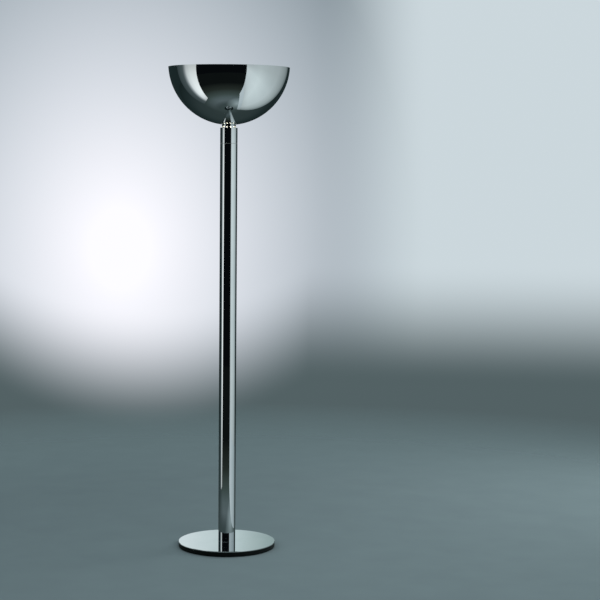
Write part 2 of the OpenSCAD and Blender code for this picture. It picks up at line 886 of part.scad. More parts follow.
floor_pad();
base_weight();
base_plate();
recess_cover();
cover_screws();
cable_grommet();
cable_clamp();
clamp_screws();
terminal_block();
terminal_screws();
earth_tag();
earth_screw();
stem_foot();
foot_screws();
foot_washers();
stem_tube();
stem_lead();
dimmer_can();
dimmer_board();
dimmer_choke();
dimmer_triac();
head_plug();
dimmer_track();
track_lead();
stop_pin();
lower_bush();
spindle();
spindle_nuts();
dimmer_sleeve();
upper_bush();
wiper_carrier();
wiper_fingers();
vent_collar();
bowl();
bowl_washer();
bowl_nut();
lamp_bracket();
bracket_nut();
lampholder_left();
lampholder_right();
holder_screws();
fixed_contact();
sprung_contact();
contact_spring();
lamp_tube();
lamp_caps();
lamp_filament();
lamp_leads();
reflector();
reflector_posts();
reflector_screws();
guard_frame();
guard_glass();
guard_clips();
clip_screws();
hinge_pins();
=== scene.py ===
import math

import bmesh
import bpy
from mathutils import Matrix, Vector


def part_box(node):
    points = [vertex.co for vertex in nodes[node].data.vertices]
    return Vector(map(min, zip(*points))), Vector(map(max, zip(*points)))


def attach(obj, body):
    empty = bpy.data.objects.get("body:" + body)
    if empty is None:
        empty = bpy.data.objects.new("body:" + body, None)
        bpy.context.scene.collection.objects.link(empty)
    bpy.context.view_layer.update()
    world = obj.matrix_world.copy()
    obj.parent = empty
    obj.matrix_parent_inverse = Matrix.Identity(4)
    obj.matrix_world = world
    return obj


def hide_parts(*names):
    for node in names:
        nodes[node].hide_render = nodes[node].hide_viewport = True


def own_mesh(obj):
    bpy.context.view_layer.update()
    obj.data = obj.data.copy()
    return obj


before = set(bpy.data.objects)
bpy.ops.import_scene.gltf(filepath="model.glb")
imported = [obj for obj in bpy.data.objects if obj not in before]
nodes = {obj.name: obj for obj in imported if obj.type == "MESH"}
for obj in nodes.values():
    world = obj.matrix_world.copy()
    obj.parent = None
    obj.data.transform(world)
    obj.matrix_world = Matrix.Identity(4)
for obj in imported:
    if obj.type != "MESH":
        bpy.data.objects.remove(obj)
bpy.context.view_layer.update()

# ---------------------------------------------------------------------------
# Camera: a long lens a little below the top of the stem, square on to the front
# of the lamp, tilted down and turned so that the lamp stands left of the middle.
camera_place = (0, -5.80, 1.388)
turn_right = math.radians(2.486)
tilt_down = math.radians(5.05)
roll = math.radians(0.521)

camera = bpy.data.objects.new("camera", bpy.data.cameras.new("camera"))
camera.data.lens = 99.9
camera.data.sensor_width = 36
camera.matrix_world = (
    Matrix.Translation(camera_place)
    @ Matrix.Rotation(-turn_right, 4, "Z")
    @ Matrix.Rotation(math.pi / 2 - tilt_down, 4, "X")
    @ Matrix.Rotation(roll, 4, "Z")
)
bpy.context.scene.collection.objects.link(camera)
bpy.context.scene.camera = camera


# ---------------------------------------------------------------------------
# Floor pad: a ring of soft black foam rubber glued under the casting, which
# keeps the base off the floor. It is cut from sheet.
def shader_of(material):
    """The sockets of a material's surface shader."""
    return material.node_tree.nodes["Principled BSDF"].inputs


def finish(name, metallic=0.0, roughness=0.5):
    """A new material, ready for its pattern."""
    material = bpy.data.materials.new(name)
    material.use_nodes = True
    shader_of(material)["Metallic"].default_value = metallic
    shader_of(material)["Roughness"].default_value = roughness
    return material


def grain(material, scale, stretch=(1, 1, 1), detail=4.0):
    """Noise on the piece's own coordinates, with scale in features per metre."""
    tree = material.node_tree
    place = tree.nodes.new("ShaderNodeTexCoord")
    mapping = tree.nodes.new("ShaderNodeMapping")
    mapping.inputs["Scale"].default_value = stretch
    noise = tree.nodes.new("ShaderNodeTexNoise")
    noise.inputs["Scale"].default_value = scale
    noise.inputs["Detail"].default_value = detail
    tree.links.new(place.outputs["Object"], mapping.inputs["Vector"])
    tree.links.new(mapping.outputs["Vector"], noise.inputs["Vector"])
    return noise.outputs["Fac"]


def vary(material, pattern, socket, low, high):
    """Drives a number on the shader between two values with a pattern."""
    tree = material.node_tree
    spread = tree.nodes.new("ShaderNodeMapRange")
    spread.inputs["From Min"].default_value = 0.3
    spread.inputs["From Max"].default_value = 0.7
    spread.inputs["To Min"].default_value = low
    spread.inputs["To Max"].default_value = high
    tree.links.new(pattern, spread.inputs["Value"])
    tree.links.new(spread.outputs["Result"], shader_of(material)[socket])


def ramp_of(tree, pattern, stops):
    """A colour ramp on a pattern that runs from 0 to 1."""
    ramp = tree.nodes.new("ShaderNodeValToRGB")
    elements = ramp.color_ramp.elements
    while len(elements) < len(stops):
        elements.new(0.5)
    for element, (position, colour) in zip(elements, stops):
        element.position = position
        element.color = (*colour, 1)
    tree.links.new(pattern, ramp.inputs["Fac"])
    return ramp.outputs["Color"]


def tint(material, pattern, dark, light):
    """Colours the shader between two colours with a pattern."""
    colour = ramp_of(material.node_tree, pattern, [(0.3, dark), (0.7, light)])
    material.node_tree.links.new(colour, shader_of(material)["Base Color"])


def relief(material, pattern, depth, strength=0.5):
    """Raises the surface by a pattern, with its depth in metres."""
    tree = material.node_tree
    bump = tree.nodes.new("ShaderNodeBump")
    bump.inputs["Strength"].default_value = strength
    bump.inputs["Distance"].default_value = depth
    tree.links.new(pattern, bump.inputs["Height"])
    tree.links.new(bump.outputs["Normal"], shader_of(material)["Normal"])


def dress(material, *names):
    """Gives carried-over pieces their finish."""
    for name in names:
        mesh = nodes[name].data
        if not mesh.materials:
            mesh.materials.append(material)
        for slot in nodes[name].material_slots:
            slot.material = material


black_rubber = finish("black_rubber", roughness=0.75)
tint(black_rubber, grain(black_rubber, 300), (0.012, 0.012, 0.013), (0.028, 0.028, 0.030))
relief(black_rubber, grain(black_rubber, 1500), 0.0002)
dress(black_rubber, "floor_pad", "cable_grommet", "bowl_washer")

# ---------------------------------------------------------------------------
# Casting: the heavy disc that keeps the lamp upright. It is cast iron, turned on
# its rim and stove-enamelled black, with a recess below for the wiring.
black_enamel = finish("black_enamel", roughness=0.4)
shader_of(black_enamel)["Specular IOR Level"].default_value = 0.15
tint(black_enamel, grain(black_enamel, 120), (0.001, 0.002, 0.0018), (0.003, 0.005, 0.0045))
vary(black_enamel, grain(black_enamel, 40), "Roughness", 0.32, 0.46)
relief(black_enamel, grain(black_enamel, 900), 0.00006, 0.3)
dress(black_enamel, "base_weight")

# ---------------------------------------------------------------------------
# Underside fittings: the lid over the wiring recess and the insulating can of
# the dimmer are moulded black plastic with a fine spark-eroded texture.
black_plastic = finish("black_plastic", roughness=0.55)
tint(black_plastic, grain(black_plastic, 200), (0.014, 0.014, 0.016), (0.022, 0.022, 0.024))
relief(black_plastic, grain(black_plastic, 2500), 0.00008)
dress(black_plastic, "recess_cover", "dimmer_can")

# Screws, nuts, plugs and small sheet parts are steel with a satin zinc plate,
# a little cloudy, with fine turning and rolling marks.
zinc = finish("zinc_steel", metallic=1.0, roughness=0.3)
tint(zinc, grain(zinc, 90), (0.50, 0.51, 0.53), (0.66, 0.67, 0.69))
vary(zinc, grain(zinc, 400), "Roughness", 0.24, 0.42)
relief(zinc, grain(zinc, 3000, stretch=(1, 1, 6)), 0.00003, 0.3)
dress(
    zinc, "cover_screws", "cable_clamp", "clamp_screws", "stem_foot", "foot_screws",
    "foot_washers", "head_plug", "stop_pin", "spindle", "spindle_nuts", "holder_screws",
    "reflector_posts", "reflector_screws", "guard_clips", "clip_screws", "hinge_pins",
    "dimmer_triac", "bowl_nut", "bracket_nut",
)

# Terminal screws, earth tag and lamp contacts are bare machined brass, a little
# dull where it has been handled.
brass = finish("bare_brass", metallic=1.0, roughness=0.3)
tint(brass, grain(brass, 250), (0.52, 0.36, 0.13), (0.74, 0.56, 0.25))
vary(brass, grain(brass, 600), "Roughness", 0.22, 0.40)
dress(brass, "terminal_screws", "earth_tag", "earth_screw", "fixed_contact", "sprung_contact")

# The terminal block, the lampholders and the lamp's end caps are pressed and
# fired steatite, matt and faintly speckled.
steatite = finish("steatite", roughness=0.6)
tint(steatite, grain(steatite, 1800), (0.62, 0.60, 0.54), (0.82, 0.80, 0.74))
relief(steatite, grain(steatite, 2600), 0.00006, 0.4)
dress(steatite, "terminal_block", "lampholder_left", "lampholder_right", "lamp_caps")


# ---------------------------------------------------------------------------
# Top plate: a flat steel disc with a small chamfer, ground, polished to a mirror
# and chromed. It covers the casting and is what one sees of the base.
MM = 0.001


def turned(outline, steps):
    """A closed outline of (radius, height) in millimetres, spun about the lamp's axis."""
    form = bmesh.new()
    points = [form.verts.new((r * MM, 0, z * MM)) for r, z in outline]
    edges = [form.edges.new((a, b)) for a, b in zip(points, points[1:] + points[:1])]
    bmesh.ops.spin(
        form, geom=points + edges, cent=(0, 0, 0), axis=(0, 0, 1),
        angle=math.tau, steps=steps, use_merge=True,
    )
    bmesh.ops.remove_doubles(form, verts=form.verts, dist=1e-6)
    bmesh.ops.recalc_face_normals(form, faces=form.faces)
    return form


sharp_angle = math.radians(25)


def piece(form, name, material, body="stand", edge=0.0):
    """Turns a bmesh into a finished piece on a body, with its edges broken by a small radius."""
    mesh = bpy.data.meshes.new(name)
    form.to_mesh(mesh)
    form.free()
    mesh.materials.append(material)
    mesh.shade_smooth()
    made = bpy.data.objects.new(name, mesh)
    bpy.context.scene.collection.objects.link(made)
    if edge:
        bevel = made.modifiers.new("edge", "BEVEL")
        bevel.width = edge * MM
        bevel.segments = 3
        bevel.limit_method = "ANGLE"
        bevel.angle_limit = sharp_angle
        bevel.harden_normals = True
    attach(made, body)
    return made


def levels(node):
    """Lowest and highest point of a CAD piece, in millimetres."""
    return (corner.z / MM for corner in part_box(node))


def radius_of(node):
    """Radius of a round CAD piece about the lamp's axis, in millimetres."""
    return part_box(node)[1].x / MM


chrome = finish("polished_chrome", metallic=1.0, roughness=0.03)
tint(chrome, grain(chrome, 14), (0.60, 0.630, 0.640), (0.64, 0.665, 0.672))
vary(chrome, grain(chrome, 22, detail=6), "Roughness", 0.012, 0.045)
relief(chrome, grain(chrome, 9, detail=0), 0.00004, 0.12)

plate_low, plate_high = levels("base_plate")
plate_r = radius_of("base_plate")
plate_chamfer = 0.8
cable_hole_r = 6
base_disc = piece(
    turned(
        [(cable_hole_r, plate_low), (plate_r, plate_low), (plate_r, plate_high - plate_chamfer),
         (plate_r - plate_chamfer, plate_high), (cable_hole_r, plate_high)],
        steps=256,
    ),
    "base_disc", chrome, edge=0.15,
)
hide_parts("base_plate")

# ---------------------------------------------------------------------------
# Stem: one straight length of steel tube, polished and chromed, pulled down on
# the base by three screws from below. The lead runs up inside it.
stem_r = radius_of("stem_tube")
stem_low, stem_high = levels("stem_tube")
tube_wall = 1.5
stem = piece(
    turned(
        [(stem_r - tube_wall, stem_low), (stem_r, stem_low), (stem_r, stem_high),
         (stem_r - tube_wall, stem_high)],
        steps=192,
    ),
    "stem", chrome, edge=0.25,
)
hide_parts("stem_tube")

# The lead in the stem has a black flexible sheath, and the lamp's own leads are
# in white silicone, which stands the heat of the bowl.
black_sheath = finish("black_sheath", roughness=0.5)
tint(black_sheath, grain(black_sheath, 400), (0.012, 0.012, 0.012), (0.022, 0.022, 0.022))
relief(black_sheath, grain(black_sheath, 1200), 0.00005)
dress(black_sheath, "stem_lead", "track_lead")
silicone = finish("white_silicone", roughness=0.55)
tint(silicone, grain(silicone, 500), (0.66, 0.64, 0.58), (0.78, 0.76, 0.71))
relief(silicone, grain(silicone, 1500), 0.00005)
dress(silicone, "lamp_leads")

# ---------------------------------------------------------------------------
# Dimmer: a green circuit board with its ring choke, and the ring-shaped track
# with the sleeve's two bronze fingers on it.
board = finish("circuit_board", roughness=0.4)
tint(board, grain(board, 700), (0.010, 0.090, 0.035), (0.025, 0.150, 0.060))
dress(board, "dimmer_board", "dimmer_track")
copper = finish("copper_winding", metallic=1.0, roughness=0.35)
tint(copper, grain(copper, 900, stretch=(1, 8, 1)), (0.35, 0.12, 0.04), (0.62, 0.27, 0.12))
dress(copper, "dimmer_choke")
bronze = finish("phosphor_bronze", metallic=1.0, roughness=0.3)
tint(bronze, grain(bronze, 600), (0.45, 0.22, 0.10), (0.62, 0.34, 0.17))
dress(bronze, "wiper_fingers")
nylon = finish("natural_nylon", roughness=0.45)
tint(nylon, grain(nylon, 150), (0.62, 0.60, 0.52), (0.74, 0.72, 0.65))
dress(nylon, "lower_bush", "upper_bush", "wiper_carrier")

# ---------------------------------------------------------------------------
# Dimmer sleeve: the top of the stem turns to set the light. It is a length of the
# same polished tube with a web inside, which runs on two nylon bushes.
sleeve_low, sleeve_high = levels("dimmer_sleeve")
sleeve_wall = 3
web_drop, web_thick = 4, 3
web_high = sleeve_high - web_drop
web_low = web_high - web_thick
web_hole_r = 12.1
sleeve = piece(
    turned(
        [(stem_r - sleeve_wall, sleeve_low), (stem_r, sleeve_low), (stem_r, sleeve_high),
         (stem_r - sleeve_wall, sleeve_high), (stem_r - sleeve_wall, web_high),
         (web_hole_r, web_high), (web_hole_r, web_low), (stem_r - sleeve_wall, web_low)],
        steps=192,
    ),
    "turning_sleeve", chrome, body="turning_sleeve", edge=0.3,
)
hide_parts("dimmer_sleeve")

# ---------------------------------------------------------------------------
# Vented collar: a turned and chromed brass neck with twelve holes drilled round
# it, a flange that the bowl sits on and a thread that goes up through the bowl.
# It is lacquered white inside, below the neck, and that lining is given a painted glow of the
# lamp's light, which shows through the holes.
bowl_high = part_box("bowl")[1].z / MM
bowl_r, bowl_wall, rim_drop = 210, 1.2, 12
bowl_centre = bowl_high + rim_drop
collar_low, neck_high = levels("vent_collar")
flange_r = radius_of("vent_collar")
flange_edge, flange_h, seat_gap = 1, 3.8, 0.1
collar_wall, collar_floor, cone_rise = 3, 3, 3.5
collar_r = flange_r - flange_edge
collar_inner_r = collar_r - collar_wall
floor_top = collar_low + collar_floor
flange_low = bowl_centre - bowl_r - flange_h
spindle_hole_r, neck_r, neck_inner_r = 7.1, 19.8, 17
vents, vent_d, vent_row, drill_long = 12, 5.5, 5.9, 8


def bowl_underside(r):
    """Height of the bowl's outer face at a distance from the axis."""
    return bowl_centre - math.sqrt(bowl_r ** 2 - r ** 2)


def glowing(name, colour, strength):
    """A white surface with a painted glow, standing in for the light of the lamp next to it."""
    material = finish(name, roughness=0.5)
    tint(material, grain(material, 200), colour, colour)
    shader_of(material)["Emission Color"].default_value = (*colour, 1)
    shader_of(material)["Emission Strength"].default_value = strength
    return material


# The lining's glow is painted light from the lamp, not a lamp of its own.
painted_glow_lining = glowing("painted_glow_lining", (1.0, 0.97, 0.86), 1.6)
seat_r = collar_r - flange_edge
collar_form = turned(
    [(spindle_hole_r, collar_low), (collar_r, collar_low), (collar_r, flange_low),
     (flange_r, flange_low), (seat_r, bowl_underside(seat_r) - seat_gap),
     (neck_r, bowl_underside(neck_r) - seat_gap), (neck_r, neck_high), (neck_inner_r, neck_high),
     (neck_inner_r, flange_low + cone_rise), (collar_inner_r, flange_low),
     (collar_inner_r, floor_top), (spindle_hole_r, floor_top)],
    steps=252,
)
# The inside faces below the neck get the painted glow.
for face in collar_form.faces:
    middle = face.calc_center_median() / MM
    inside = math.hypot(middle.x, middle.y) < collar_inner_r + 0.5
    below_neck = collar_low < middle.z < flange_low + cone_rise - 0.1
    if inside and below_neck:
        face.material_index = 1
drills = bmesh.new()
for number in range(vents):
    bmesh.ops.create_cone(
        drills, cap_ends=True, segments=40, radius1=vent_d / 2 * MM, radius2=vent_d / 2 * MM,
        depth=drill_long * MM,
        matrix=Matrix.Rotation(math.tau * (number + 0.5) / vents, 4, "Z")
        @ Matrix.Translation((collar_r * MM, 0, (flange_low - vent_row / 2) * MM))
        @ Matrix.Rotation(math.pi / 2, 4, "Y"),
    )


def solid(form, name):
    """A form as a plain object, for a cut or for the studio."""
    mesh = bpy.data.meshes.new(name)
    form.to_mesh(mesh)
    form.free()
    made = bpy.data.objects.new(name, mesh)
    bpy.context.scene.collection.objects.link(made)
    return made


def cut(form, tool_form, materials):
    """A turned form with holes cut in it, returned as a new form."""
    blank, tool = solid(form, "blank"), solid(tool_form, "drill")
    for material in materials:
        blank.data.materials.append(material)
    tool.data.materials.append(materials[0])
    boolean = blank.modifiers.new("cut", "BOOLEAN")
    boolean.object = tool
    boolean.solver = "EXACT"
    bpy.context.view_layer.update()
    made = bmesh.new()
    made.from_object(blank, bpy.context.evaluated_depsgraph_get())
    bpy.data.objects.remove(blank)
    bpy.data.objects.remove(tool)
    bmesh.ops.dissolve_degenerate(made, dist=1e-6, edges=made.edges)
    for edge in made.edges:
        if len(edge.link_faces) == 2:
            edge.smooth = edge.calc_face_angle() < sharp_angle
    return made


collar = piece(cut(collar_form, drills, [chrome, painted_glow_lining]), "neck_collar", chrome)
collar.data.materials.append(painted_glow_lining)
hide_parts("vent_collar")

# ---------------------------------------------------------------------------
# Bowl: a deep spherical shell spun from sheet steel over a former, its edge
# rounded over, polished and chromed outside and lacquered white inside.
white_lacquer = finish("white_lacquer", roughness=0.4)
tint(white_lacquer, grain(white_lacquer, 30), (0.80, 0.80, 0.77), (0.85, 0.85, 0.83))
vary(white_lacquer, grain(white_lacquer, 80), "Roughness", 0.34, 0.48)
relief(white_lacquer, grain(white_lacquer, 700), 0.00005, 0.3)
dress(white_lacquer, "lamp_bracket", "guard_frame")

neck_fit = 0.3
sphere_centre = Vector((0, 0, bowl_centre * MM))
bowl_form = bmesh.new()
bmesh.ops.create_uvsphere(
    bowl_form, u_segments=256, v_segments=160, radius=bowl_r * MM,
    matrix=Matrix.Translation(sphere_centre),
)
everything = bowl_form.verts[:] + bowl_form.edges[:] + bowl_form.faces[:]
bmesh.ops.bisect_plane(
    bowl_form, geom=everything, plane_co=(0, 0, bowl_high * MM), plane_no=(0, 0, 1),
    clear_outer=True,
)
everything = bowl_form.verts[:] + bowl_form.edges[:] + bowl_form.faces[:]
bmesh.ops.bisect_plane(
    bowl_form, geom=everything, plane_co=(0, 0, bowl_underside(neck_r + neck_fit) * MM),
    plane_no=(0, 0, 1), clear_inner=True,
)
bmesh.ops.recalc_face_normals(bowl_form, faces=bowl_form.faces)
any_face = next(iter(bowl_form.faces))
if any_face.normal.dot(any_face.calc_center_median() - sphere_centre) < 0:
    bmesh.ops.reverse_faces(bowl_form, faces=bowl_form.faces)
bmesh.ops.solidify(bowl_form, geom=bowl_form.faces[:], thickness=bowl_wall * MM)
lining_r = (bowl_r - 0.8 * bowl_wall) * MM
for face in bowl_form.faces:
    if (face.calc_center_median() - sphere_centre).length < lining_r:
        face.material_index = 1
bowl = piece(bowl_form, "bowl_shell", chrome, edge=0.35)
bowl.data.materials.append(white_lacquer)
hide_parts("bowl")

# ---------------------------------------------------------------------------
# Reflector: a trough of bright anodised aluminium under the lamp, rolled to a
# shallow arc, with the rolling direction along the lamp.
anodised = finish("bright_anodised", metallic=1.0, roughness=0.18)
tint(anodised, grain(anodised, 60), (0.72, 0.73, 0.74), (0.80, 0.81, 0.82))
vary(anodised, grain(anodised, 900, stretch=(0.05, 1, 1)), "Roughness", 0.14, 0.26)
dress(anodised, "reflector")

# ---------------------------------------------------------------------------
# Lamp: a double-ended halogen lamp of fused quartz, pinched flat at both ends,
# with a tungsten filament that glows along its middle.
quartz = finish("quartz", roughness=0.02)
shader_of(quartz)["Transmission Weight"].default_value = 1.0
shader_of(quartz)["IOR"].default_value = 1.46
tint(quartz, grain(quartz, 60), (0.95, 0.97, 0.98), (0.99, 0.995, 1.0))
dress(quartz, "lamp_tube")
filament = finish("hot_tungsten", roughness=0.4)
tint(filament, grain(filament, 900), (1.0, 0.72, 0.42), (1.0, 0.80, 0.52))
shader_of(filament)["Emission Color"].default_value = (1.0, 0.80, 0.52, 1)
shader_of(filament)["Emission Strength"].default_value = 12
dress(filament, "lamp_filament")

# ---------------------------------------------------------------------------
# Contact spring: a small coil of zinc-plated steel wire in the right lampholder. It
# presses the contact on the lamp's cap, and shortens when a lamp is put in; the coil here is built
# at one length.
spring_start, spring_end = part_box("contact_spring")
spring_middle = (spring_start + spring_end) / 2
wire_r, spring_turns, turn_steps = 0.25, 4, 24
coil_r = (spring_end.y - spring_start.y) / 2 - wire_r * MM
coil_start = spring_start.x + wire_r * MM
coil_rise = (spring_end.x - wire_r * MM - coil_start) / (spring_turns * turn_steps)
spring_form = bmesh.new()
wire_end = bmesh.ops.create_circle(
    spring_form, segments=10, radius=wire_r * MM,
    matrix=Matrix.Translation((coil_start, spring_middle.y + coil_r, spring_middle.z)),
)
bmesh.ops.spin(
    spring_form, geom=wire_end["verts"] + spring_form.edges[:], cent=spring_middle, axis=(1, 0, 0),
    dvec=(coil_rise, 0, 0), angle=math.tau * spring_turns, steps=spring_turns * turn_steps,
)
bmesh.ops.holes_fill(spring_form, edges=spring_form.edges[:], sides=10)
bmesh.ops.recalc_face_normals(spring_form, faces=spring_form.faces)
spring = piece(spring_form, "spring_coil", zinc)
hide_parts("contact_spring")
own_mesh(spring)

# ---------------------------------------------------------------------------
# Guard: a folded frame with a clear pane that keeps fingers and dust off the
# hot lamp. The pane is heat-resistant glass with ground edges.
clear_glass = finish("guard_pane", roughness=0.03)
shader_of(clear_glass)["Transmission Weight"].default_value = 1.0
shader_of(clear_glass)["IOR"].default_value = 1.47
tint(clear_glass, grain(clear_glass, 20), (0.90, 0.96, 0.94), (0.94, 0.98, 0.97))
dress(clear_glass, "guard_glass")

# ---------------------------------------------------------------------------
# Studio: a plain pale floor and backdrop, three soft lights, and the large light
# and dark cards that a polished piece needs around it. The camera sees the floor
# and backdrop, and the polished surfaces see the cards.
def room_place(tree, axis, low, high, centre=(0, 0, 0)):
    """How far a point is along one axis of the room, or from a centre, from 0 to 1."""
    place = tree.nodes.new("ShaderNodeTexCoord")
    spread = tree.nodes.new("ShaderNodeMapRange")
    spread.inputs["From Min"].default_value = low
    spread.inputs["From Max"].default_value = high
    if axis == "radius":
        reach = tree.nodes.new("ShaderNodeVectorMath")
        reach.operation = "DISTANCE"
        reach.inputs[1].default_value = centre
        tree.links.new(place.outputs["Object"], reach.inputs[0])
        tree.links.new(reach.outputs["Value"], spread.inputs["Value"])
    else:
        split = tree.nodes.new("ShaderNodeSeparateXYZ")
        tree.links.new(place.outputs["Object"], split.inputs["Vector"])
        tree.links.new(split.outputs[axis], spread.inputs["Value"])
    return spread.outputs["Result"]


def mixed(tree, factor, first, second, way="MIX"):
    """Two colours, or sockets, mixed by a number or a socket."""
    mix = tree.nodes.new("ShaderNodeMix")
    mix.data_type = "RGBA"
    mix.blend_type = way
    for socket, value in (("Factor", factor), ("A", first), ("B", second)):
        if isinstance(value, tuple):
            mix.inputs[socket].default_value = (*value, 1)
        elif isinstance(value, (int, float)):
            mix.inputs[socket].default_value = value
        else:
            tree.links.new(value, mix.inputs[socket])
    return mix.outputs["Result"]


def only_reflected(made):
    """Makes a sheet glow in reflections alone, and returns its material's tree and glow."""
    material = bpy.data.materials.new(made.name)
    material.use_nodes = True
    tree = material.node_tree
    tree.nodes.clear()
    glow = tree.nodes.new("ShaderNodeEmission")
    out = tree.nodes.new("ShaderNodeOutputMaterial")
    tree.links.new(glow.outputs["Emission"], out.inputs["Surface"])
    made.data.materials.append(material)
    made.visible_camera = False
    made.visible_diffuse = False
    made.visible_shadow = False
    return tree, glow


def card(name, corners, along, stops, heights=((0, 1), (1, 1))):
    """A card whose glow is graded along an axis and up its height."""
    form = bmesh.new()
    form.faces.new([form.verts.new(corner) for corner in corners])
    made = solid(form, name)
    made.visible_transmission = False
    tree, glow = only_reflected(made)
    tree.links.new(ramp_of(tree, room_place(tree, *along), stops), glow.inputs["Color"])
    greys = [(position, (level, level, level)) for position, level in heights]
    tree.links.new(ramp_of(tree, room_place(tree, "Z", 0, 2), greys), glow.inputs["Strength"])


# The tall pale wall close by on the right, seen as the broad light band.
corner_x, corner_y = 0.325, 0.13
run_x, run_y = 0.368, -0.930
long_low, long_high, wall_top = 1.74, 2.02, 2.0
card(
    "right_wall",
    [(corner_x, corner_y, 0), (corner_x + run_x * long_low, corner_y + run_y * long_low, 0),
     (corner_x + run_x * long_high, corner_y + run_y * long_high, wall_top),
     (corner_x, corner_y, wall_top)],
    ("Y", corner_y, corner_y + run_y * 2),
    [(0, (0.20, 0.25, 0.26)), (0.03, (0.45, 0.53, 0.54)), (0.09, (0.70, 0.80, 0.82)),
     (0.16, (0.77, 0.88, 0.90)), (0.28, (0.86, 0.98, 1.00)), (0.55, (0.82, 0.92, 0.94)),
     (1, (0.78, 0.88, 0.90))],
    ((0, 0.62), (0.18, 0.78), (0.40, 0.95), (0.60, 1), (0.70, 0.96), (0.80, 0.72), (1, 0.60)),
)
# The wall meets the floor in a pale cove.
cove_h, cove_long, cove_out_x, cove_out_y = 0.3, 1.15, -0.158, -0.063
card(
    "wall_cove",
    [(corner_x, corner_y, cove_h), (corner_x - 0.03, corner_y - 0.01, 0),
     (corner_x + run_x * cove_long + cove_out_x, corner_y + run_y * cove_long + cove_out_y, 0),
     (corner_x + run_x * long_low, corner_y + run_y * long_low, cove_h)],
    ("Y", corner_y, corner_y + run_y * 2),
    [(0, (0.30, 0.36, 0.38)), (0.1, (0.50, 0.60, 0.63)), (0.3, (0.62, 0.72, 0.76)),
     (0.8, (0.66, 0.76, 0.80)), (1, (0.60, 0.70, 0.74))],
)
# The soft box on the left, seen as the narrow bright band, and the dim screen beside it.
left_x = -1.04
card(
    "left_softbox",
    [(left_x, -0.35, 0), (left_x, -0.64, 1.8), (left_x, 0.03, 1.8), (left_x, 0.03, 0)],
    ("Y", 0.03, -0.60),
    [(0, (0.14, 0.18, 0.19)), (0.11, (0.38, 0.43, 0.45)), (0.27, (1.10, 1.17, 1.18)),
     (0.5, (1.32, 1.39, 1.39)), (1, (1.36, 1.41, 1.40))],
    ((0, 0.58), (0.15, 0.84), (0.30, 0.98), (0.45, 0.93), (0.60, 0.84), (0.70, 0.74), (0.80, 0.57),
     (1, 0.53)),
)
card(
    "left_screen",
    [(left_x, 0.03, 0), (left_x, 0.03, 1.8), (left_x, 0.32, 1.8), (left_x, 0.25, 0)],
    ("Y", 0.03, 0.30),
    [(0, (0.095, 0.125, 0.13)), (1, (0.05, 0.07, 0.075))],
)
# The floor as the polished surfaces see it: a painted pool of light in front that falls
# off to a dark room, a painted shadow close round the base, and a dim lit floor behind.
pool_form = bmesh.new()
bmesh.ops.create_circle(
    pool_form, cap_ends=True, segments=64, radius=5.0, matrix=Matrix.Translation((0, 0, -0.001)),
)
tree, glow = only_reflected(solid(pool_form, "floor_pool"))
# Close round the lamp the pool is darker, a painted shadow round the base.
shadow_by_lamp = (0.055, 0.080, 0.080)
in_front = [
    (0.03, shadow_by_lamp), (0.07, (0.065, 0.092, 0.095)), (0.12, (0.13, 0.17, 0.18)),
    (0.16, (0.11, 0.15, 0.155)), (0.21, (0.066, 0.094, 0.088)), (0.30, (0.026, 0.034, 0.029)),
    (0.45, (0.006, 0.008, 0.008)),
]
behind = [
    (0.03, shadow_by_lamp), (0.10, (0.042, 0.062, 0.062)), (0.26, (0.037, 0.056, 0.057)),
    (0.50, (0.021, 0.035, 0.036)), (1.00, (0.012, 0.021, 0.021)),
]
by_the_wall = [(0, (0.30, 0.36, 0.375)), (0.5, (0.12, 0.15, 0.155)), (1, (0, 0, 0))]
out_from_lamp = room_place(tree, "radius", 0, 5)
pool_tone = mixed(
    tree, room_place(tree, "Y", -0.45, 0.35),
    ramp_of(tree, out_from_lamp, in_front), ramp_of(tree, out_from_lamp, behind),
)
wall_light = ramp_of(tree, room_place(tree, "radius", 0, 0.45, (0.33, -0.30, 0)), by_the_wall)
tree.links.new(mixed(tree, 1, pool_tone, wall_light, way="ADD"), glow.inputs["Color"])

# The floor that the camera sees fades into the backdrop all round.
floor_form = bmesh.new()
bmesh.ops.create_circle(floor_form, cap_ends=True, segments=96, radius=3.6)
floor = solid(floor_form, "floor")
floor_paint = finish("pale_floor", roughness=0.9)
shader_of(floor_paint)["Specular IOR Level"].default_value = 0
tint(floor_paint, grain(floor_paint, 6), (0.268, 0.350, 0.369), (0.283, 0.369, 0.388))
relief(floor_paint, grain(floor_paint, 60), 0.0005, 0.1)
fade = room_place(floor_paint.node_tree, "radius", 3.4, 1.2)
floor_paint.node_tree.links.new(fade, shader_of(floor_paint)["Alpha"])
floor.data.materials.append(floor_paint)
floor.visible_glossy = False

# The room past the floor: a pale backdrop for the camera, and a dark room for the
# polished surfaces. Both are worked out from the direction that one looks in.
world = bpy.data.worlds.new("studio")
bpy.context.scene.world = world
world.use_nodes = True
sky = world.node_tree
sky.nodes.clear()


def maths(operation, first, second=None):
    """One step of arithmetic on the room's directions."""
    step = sky.nodes.new("ShaderNodeMath")
    step.operation = operation
    for socket, value in zip(step.inputs, (first, second)):
        if isinstance(value, (int, float)):
            socket.default_value = value
        elif value is not None:
            sky.links.new(value, socket)
    return step.outputs["Value"]


def eased(value, low, high):
    """A soft step from 0 at low to 1 at high."""
    spread = sky.nodes.new("ShaderNodeMapRange")
    spread.interpolation_type = "SMOOTHSTEP"
    spread.inputs["From Min"].default_value = low
    spread.inputs["From Max"].default_value = high
    sky.links.new(value, spread.inputs["Value"])
    return spread.outputs["Result"]


toward = sky.nodes.new("ShaderNodeSeparateXYZ")
sky.links.new(sky.nodes.new("ShaderNodeTexCoord").outputs["Generated"], toward.inputs["Vector"])
to_right, to_back, up = (toward.outputs[axis] for axis in "XYZ")

